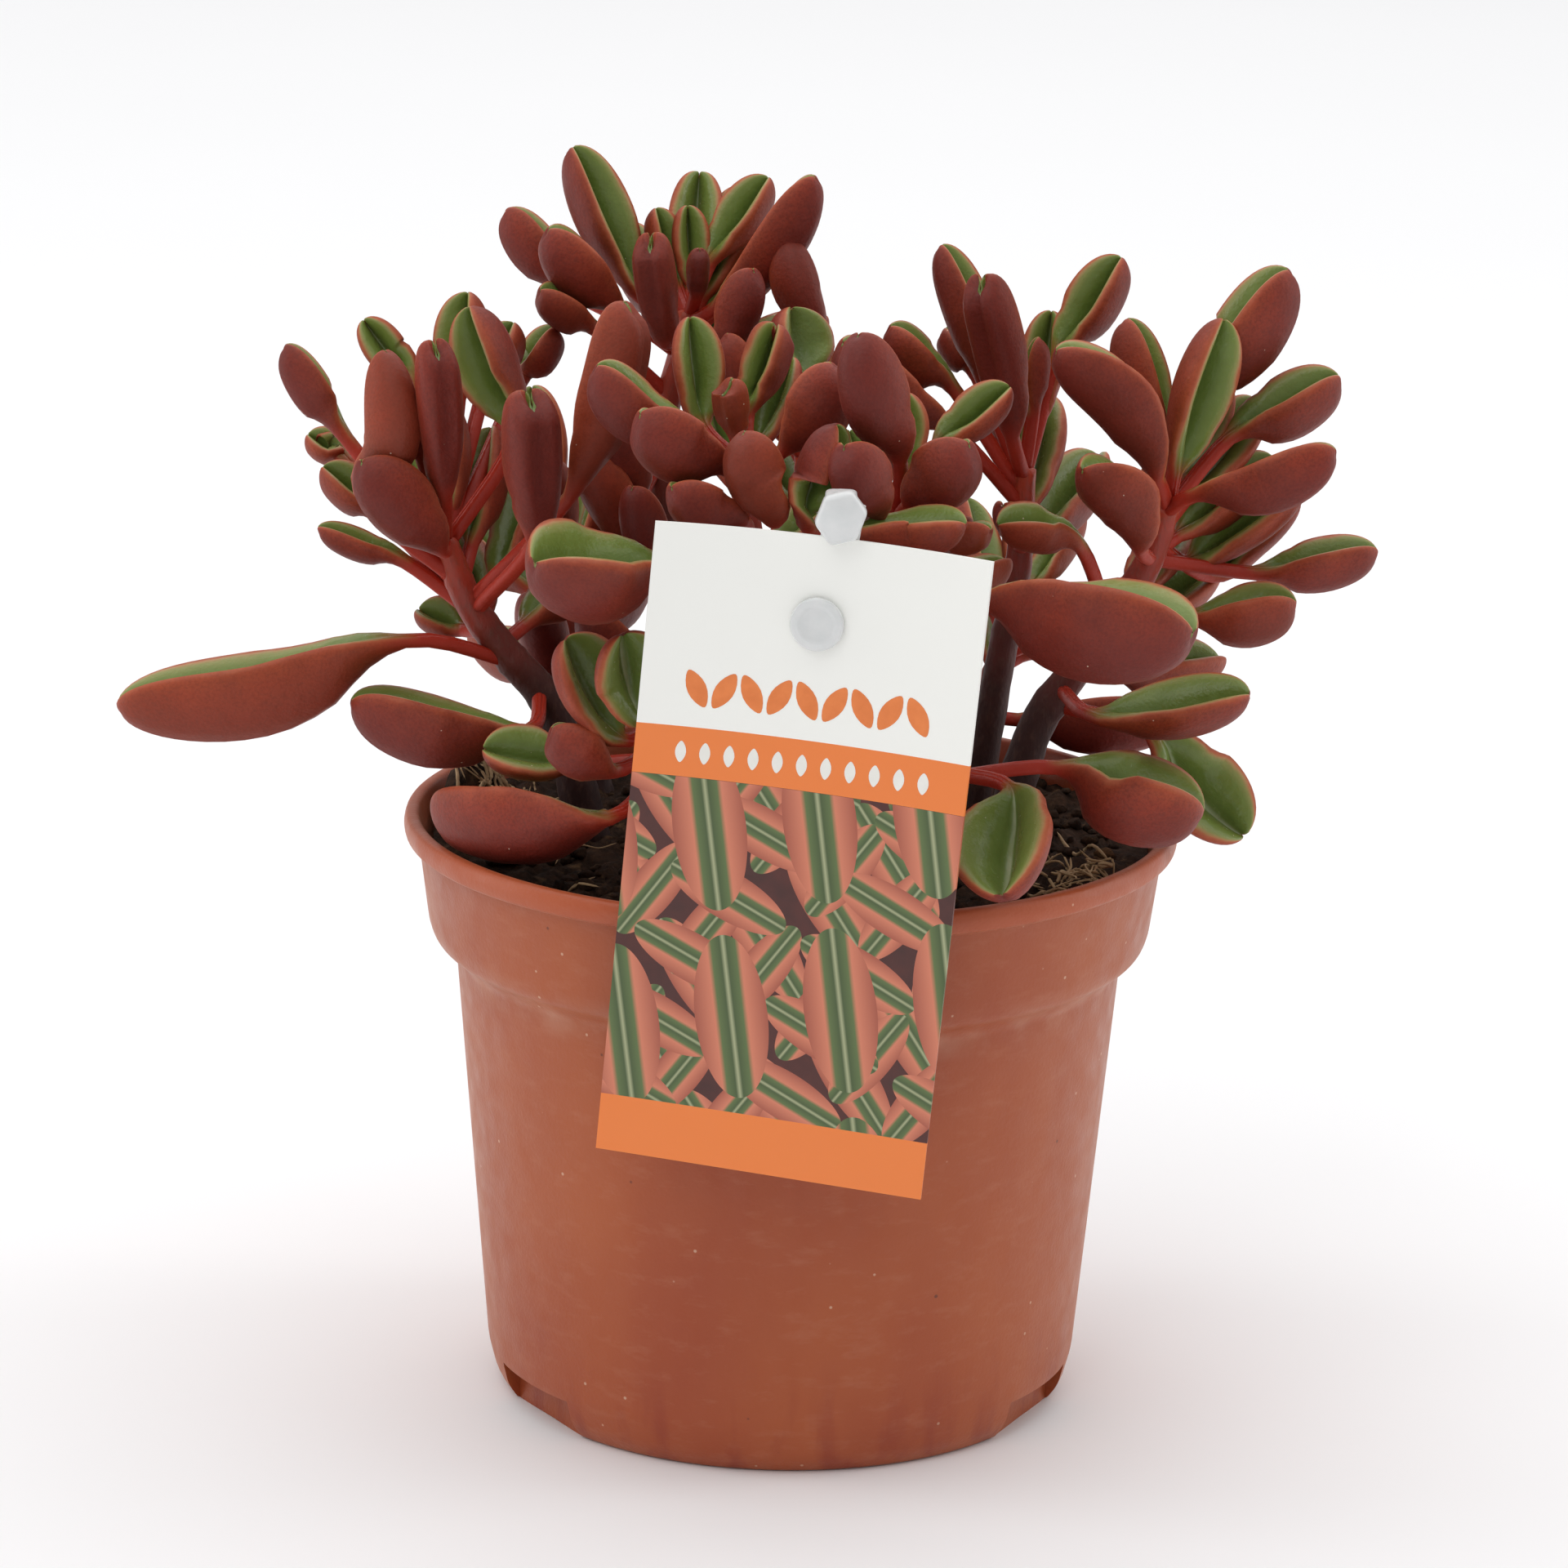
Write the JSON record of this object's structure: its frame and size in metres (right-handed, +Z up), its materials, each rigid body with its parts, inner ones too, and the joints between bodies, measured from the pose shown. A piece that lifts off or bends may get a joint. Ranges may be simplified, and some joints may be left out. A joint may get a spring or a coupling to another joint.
{
  "type": "peperomia graveolens in a nursery pot",
  "caption": "Potted succulent with folded red leaves that have a green window, in a round plastic nursery pot with a hanging plant card.",
  "frame": {"origin": "middle of the flat pad under the pot's floor, on the surface it stands on", "axes": "+Z up along the pot's axis, -Y towards the front with the card, +X to the right seen from the front"},
  "size_m": [0.1912, 0.1369, 0.1896],
  "materials": {
    "pot_plastic": "satin brick-orange moulded plastic",
    "peat": "rough dark fibrous peat",
    "leaf": "velvety red leaf back, glossy green window, crimson stalks",
    "card": "smooth printed plastic card",
    "clear_plastic": "milky clear plastic"
  },
  "bodies": {
    "root": {"nursery_pot": "pot_plastic", "peat_soil": "peat", "leafy_stem_back": "leaf", "leafy_stem_left": "leaf", "leafy_stem_middle_left": "leaf", "leafy_stem_middle_right": "leaf", "leafy_stem_middle_back": "leaf", "leafy_stem_inner_right": "leaf", "leafy_stem_right": "leaf", "leafy_stem_low_front_left": "leaf", "leafy_stem_low_front_right": "leaf", "leafy_stem_far_left": "leaf", "leafy_stem_far_right": "leaf", "plant_card": "card", "card_stake": "clear_plastic"}
  },
  "joints": []
}
